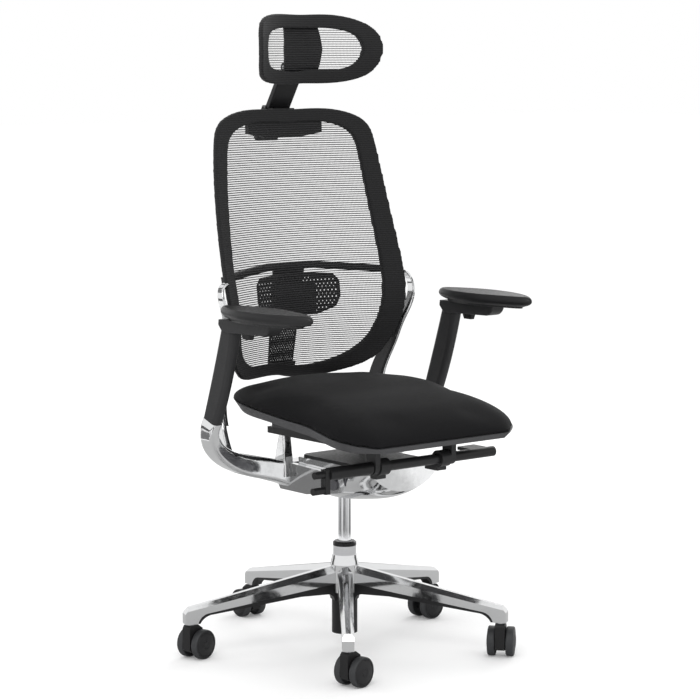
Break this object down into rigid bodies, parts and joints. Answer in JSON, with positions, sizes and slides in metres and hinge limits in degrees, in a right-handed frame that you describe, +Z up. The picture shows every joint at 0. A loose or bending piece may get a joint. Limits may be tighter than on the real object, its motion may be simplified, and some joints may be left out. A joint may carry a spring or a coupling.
{
  "type": "swivel office chair",
  "caption": "High-back swivel office chair with mesh back, headrest, adjustable arms, synchronous tilt and a five-legged base on twin-wheel casters.",
  "frame": {"origin": "on the floor, on the axis of the gas lift", "axes": "+Z up, the sitter faces -Y, +X is the sitter's left"},
  "size_m": [0.707, 0.7326, 1.3753],
  "materials": {
    "star_base": "mirror polished",
    "base_underframe": "moulded, fine grain",
    "caster_stems": "zinc plated",
    "lift_outer_tube": "polished",
    "lift_top_ring": "moulded, fine grain",
    "lift_bearing": "ground",
    "caster_1_fork": "moulded, fine grain",
    "caster_1_axle": "ground",
    "caster_1_wheel_left": "moulded, fine grain",
    "caster_1_wheel_right": "moulded, fine grain",
    "caster_2_fork": "moulded, fine grain",
    "caster_2_axle": "ground",
    "caster_2_wheel_left": "moulded, fine grain",
    "caster_2_wheel_right": "moulded, fine grain",
    "caster_3_fork": "moulded, fine grain",
    "caster_3_axle": "ground",
    "caster_3_wheel_left": "moulded, fine grain",
    "caster_3_wheel_right": "moulded, fine grain",
    "caster_4_fork": "moulded, fine grain",
    "caster_4_axle": "ground",
    "caster_4_wheel_left": "moulded, fine grain",
    "caster_4_wheel_right": "moulded, fine grain",
    "caster_5_fork": "moulded, fine grain",
    "caster_5_axle": "ground",
    "caster_5_wheel_left": "moulded, fine grain",
    "caster_5_wheel_right": "moulded, fine grain",
    "lift_rod": "ground",
    "lift_column": "polished",
    "mech_housing": "mirror polished",
    "mech_cover": "moulded, fine grain",
    "tilt_axle": "blackened",
    "tilt_springs": "oiled",
    "front_bar": "satin black",
    "bar_clamps": "moulded, fine grain",
    "height_lever": "moulded, fine grain",
    "depth_lever": "moulded, fine grain",
    "seat_frame": "satin black",
    "seat_pan": "moulded, fine grain",
    "seat_cushion": "woven",
    "yoke": "mirror polished",
    "upright_liner_left": "moulded, fine grain",
    "upright_liner_right": "moulded, fine grain",
    "seat_struts": "polished",
    "arm_stems": "satin",
    "back_frame": "knitted border on a moulded frame",
    "back_mesh": "open mesh",
    "lumbar_frame": "moulded, fine grain",
    "headrest_bracket": "moulded, fine grain",
    "lumbar_pad": "moulded, fine grain",
    "headrest_neck": "moulded, fine grain",
    "headrest_pin": "ground",
    "headrest_plate": "moulded, fine grain",
    "headrest_frame": "knitted border on a moulded frame",
    "headrest_mesh": "open mesh",
    "arm_shell_left": "moulded, fine grain",
    "arm_pad_left": "soft moulded",
    "arm_button_left": "moulded, fine grain",
    "arm_shell_right": "moulded, fine grain",
    "arm_pad_right": "soft moulded",
    "arm_button_right": "moulded, fine grain"
  },
  "bodies": {
    "base": {"star_base": "star_base", "base_underframe": "base_underframe", "caster_stems": "caster_stems", "lift_outer_tube": "lift_outer_tube", "lift_top_ring": "lift_top_ring", "lift_bearing": "lift_bearing"},
    "caster_1": {"caster_1_fork": "caster_1_fork", "caster_1_axle": "caster_1_axle"},
    "wheel_1_left": {"caster_1_wheel_left": "caster_1_wheel_left"},
    "wheel_1_right": {"caster_1_wheel_right": "caster_1_wheel_right"},
    "caster_2": {"caster_2_fork": "caster_2_fork", "caster_2_axle": "caster_2_axle"},
    "wheel_2_left": {"caster_2_wheel_left": "caster_2_wheel_left"},
    "wheel_2_right": {"caster_2_wheel_right": "caster_2_wheel_right"},
    "caster_3": {"caster_3_fork": "caster_3_fork", "caster_3_axle": "caster_3_axle"},
    "wheel_3_left": {"caster_3_wheel_left": "caster_3_wheel_left"},
    "wheel_3_right": {"caster_3_wheel_right": "caster_3_wheel_right"},
    "caster_4": {"caster_4_fork": "caster_4_fork", "caster_4_axle": "caster_4_axle"},
    "wheel_4_left": {"caster_4_wheel_left": "caster_4_wheel_left"},
    "wheel_4_right": {"caster_4_wheel_right": "caster_4_wheel_right"},
    "caster_5": {"caster_5_fork": "caster_5_fork", "caster_5_axle": "caster_5_axle"},
    "wheel_5_left": {"caster_5_wheel_left": "caster_5_wheel_left"},
    "wheel_5_right": {"caster_5_wheel_right": "caster_5_wheel_right"},
    "lift_core": {"lift_rod": "lift_rod"},
    "chassis": {"lift_column": "lift_column", "mech_housing": "mech_housing", "mech_cover": "mech_cover", "tilt_axle": "tilt_axle", "tilt_springs": "tilt_springs", "front_bar": "front_bar", "bar_clamps": "bar_clamps"},
    "height_lever": {"height_lever": "height_lever"},
    "depth_lever": {"depth_lever": "depth_lever"},
    "seat_rails": {"seat_frame": "seat_frame"},
    "seat": {"seat_pan": "seat_pan", "seat_cushion": "seat_cushion"},
    "back": {"yoke": "yoke", "upright_liner_left": "upright_liner_left", "upright_liner_right": "upright_liner_right", "seat_struts": "seat_struts", "arm_stems": "arm_stems", "back_frame": "back_frame", "back_mesh": "back_mesh", "lumbar_frame": "lumbar_frame", "headrest_bracket": "headrest_bracket"},
    "lumbar": {"lumbar_pad": "lumbar_pad"},
    "neck": {"headrest_neck": "headrest_neck"},
    "headrest": {"headrest_pin": "headrest_pin", "headrest_plate": "headrest_plate", "headrest_frame": "headrest_frame", "headrest_mesh": "headrest_mesh"},
    "arm_left": {"arm_shell_left": "arm_shell_left"},
    "arm_left_pad": {"arm_pad_left": "arm_pad_left"},
    "arm_left_button": {"arm_button_left": "arm_button_left"},
    "arm_right": {"arm_shell_right": "arm_shell_right"},
    "arm_right_pad": {"arm_pad_right": "arm_pad_right"},
    "arm_right_button": {"arm_button_right": "arm_button_right"}
  },
  "joints": [
    {"name": "caster_1_swivel", "type": "hinge", "parent": "base", "child": "caster_1", "pos_m": [-0.215, -0.27618, 0.032], "axis": [0, 0, 1], "continuous": true},
    {"name": "wheel_1_left_spin", "type": "hinge", "parent": "caster_1", "child": "wheel_1_left", "pos_m": [-0.19732, -0.27281, 0.032], "axis": [-0.1874, 0.9823, 0], "continuous": true},
    {"name": "wheel_1_right_spin", "type": "hinge", "parent": "caster_1", "child": "wheel_1_right", "pos_m": [-0.19732, -0.27281, 0.032], "axis": [-0.1874, 0.9823, 0], "continuous": true},
    {"name": "caster_2_swivel", "type": "hinge", "parent": "base", "child": "caster_2", "pos_m": [0.19622, -0.28982, 0.032], "axis": [0, 0, 1], "continuous": true},
    {"name": "wheel_2_left_spin", "type": "hinge", "parent": "caster_2", "child": "wheel_2_left", "pos_m": [0.20985, -0.27806, 0.032], "axis": [-0.6534, 0.757, 0], "continuous": true},
    {"name": "wheel_2_right_spin", "type": "hinge", "parent": "caster_2", "child": "wheel_2_right", "pos_m": [0.20985, -0.27806, 0.032], "axis": [-0.6534, 0.757, 0], "continuous": true},
    {"name": "caster_3_swivel", "type": "hinge", "parent": "base", "child": "caster_3", "pos_m": [0.33627, 0.09706, 0.032], "axis": [0, 0, 1], "continuous": true},
    {"name": "wheel_3_left_spin", "type": "hinge", "parent": "caster_3", "child": "wheel_3_left", "pos_m": [0.31831, 0.09587, 0.032], "axis": [0.0663, -0.9978, 0], "continuous": true},
    {"name": "wheel_3_right_spin", "type": "hinge", "parent": "caster_3", "child": "wheel_3_right", "pos_m": [0.31831, 0.09587, 0.032], "axis": [0.0663, -0.9978, 0], "continuous": true},
    {"name": "caster_4_swivel", "type": "hinge", "parent": "base", "child": "caster_4", "pos_m": [0.0116, 0.34981, 0.032], "axis": [0, 0, 1], "continuous": true},
    {"name": "wheel_4_left_spin", "type": "hinge", "parent": "caster_4", "child": "wheel_4_left", "pos_m": [0.01223, 0.3678, 0.032], "axis": [-0.9994, 0.0349, 0], "continuous": true},
    {"name": "wheel_4_right_spin", "type": "hinge", "parent": "caster_4", "child": "wheel_4_right", "pos_m": [0.01223, 0.3678, 0.032], "axis": [-0.9994, 0.0349, 0], "continuous": true},
    {"name": "caster_5_swivel", "type": "hinge", "parent": "base", "child": "caster_5", "pos_m": [-0.3291, 0.11913, 0.032], "axis": [0, 0, 1], "continuous": true},
    {"name": "wheel_5_left_spin", "type": "hinge", "parent": "caster_5", "child": "wheel_5_left", "pos_m": [-0.31155, 0.12312, 0.032], "axis": [-0.2215, 0.9751, 0], "continuous": true},
    {"name": "wheel_5_right_spin", "type": "hinge", "parent": "caster_5", "child": "wheel_5_right", "pos_m": [-0.31155, 0.12312, 0.032], "axis": [-0.2215, 0.9751, 0], "continuous": true},
    {"name": "chair_swivel", "type": "hinge", "parent": "base", "child": "lift_core", "pos_m": [0, 0, 0.05], "axis": [0, 0, 1], "continuous": true},
    {"name": "lift_height", "type": "slide", "parent": "lift_core", "child": "chassis", "axis": [0, 0, 1], "range_m": [-0.085, 0.015]},
    {"name": "recline", "type": "hinge", "parent": "chassis", "child": "back", "pos_m": [0, -0.095, 0.385], "axis": [-1, 0, 0], "range_deg": [0, 16], "stiffness_Nm_per_rad": 60, "springref_deg": -45.84},
    {"name": "seat_tilt", "type": "hinge", "parent": "chassis", "child": "seat_rails", "pos_m": [0, -0.224, 0.438], "axis": [-1, 0, 0], "range_deg": [0, 8.58]},
    {"name": "seat_depth", "type": "slide", "parent": "seat_rails", "child": "seat", "axis": [0, -1, 0], "range_m": [0, 0.05]},
    {"name": "height_lever_turn", "type": "hinge", "parent": "chassis", "child": "height_lever", "pos_m": [0, -0.224, 0.438], "axis": [1, 0, 0], "range_deg": [0, 15], "stiffness_Nm_per_rad": 0.6, "springref_deg": -20.05},
    {"name": "depth_lever_turn", "type": "hinge", "parent": "chassis", "child": "depth_lever", "pos_m": [0, -0.224, 0.438], "axis": [1, 0, 0], "range_deg": [0, 12], "stiffness_Nm_per_rad": 0.6, "springref_deg": -20.05},
    {"name": "lumbar_height", "type": "slide", "parent": "back", "child": "lumbar", "axis": [0, -0.144, 0.9896], "range_m": [-0.015, 0.015]},
    {"name": "headrest_height", "type": "slide", "parent": "back", "child": "neck", "axis": [0, -0.5299, 0.848], "range_m": [0, 0.05]},
    {"name": "headrest_tilt", "type": "hinge", "parent": "neck", "child": "headrest", "pos_m": [0, 0.17956, 1.26071], "axis": [1, 0, 0], "range_deg": [-12, 18]},
    {"name": "arm_left_height", "type": "slide", "parent": "back", "child": "arm_left", "axis": [0, -0.3338, 0.9426], "range_m": [0, 0.08]},
    {"name": "arm_left_pad_slide", "type": "slide", "parent": "arm_left", "child": "arm_left_pad", "axis": [0, -1, 0], "range_m": [-0.03, 0.03]},
    {"name": "arm_left_button_press", "type": "slide", "parent": "arm_left", "child": "arm_left_button", "axis": [0, 0, 1], "range_m": [0, 0.003], "stiffness_N_per_m": 400, "springref_m": -0.004},
    {"name": "arm_right_height", "type": "slide", "parent": "back", "child": "arm_right", "axis": [0, -0.3338, 0.9426], "range_m": [0, 0.08]},
    {"name": "arm_right_pad_slide", "type": "slide", "parent": "arm_right", "child": "arm_right_pad", "axis": [0, -1, 0], "range_m": [-0.03, 0.03]},
    {"name": "arm_right_button_press", "type": "slide", "parent": "arm_right", "child": "arm_right_button", "axis": [0, 0, 1], "range_m": [0, 0.003], "stiffness_N_per_m": 400, "springref_m": -0.004}
  ],
  "couplings": [
    {"joint": "seat_tilt", "follows": "recline", "ratio": 0.53}
  ]
}
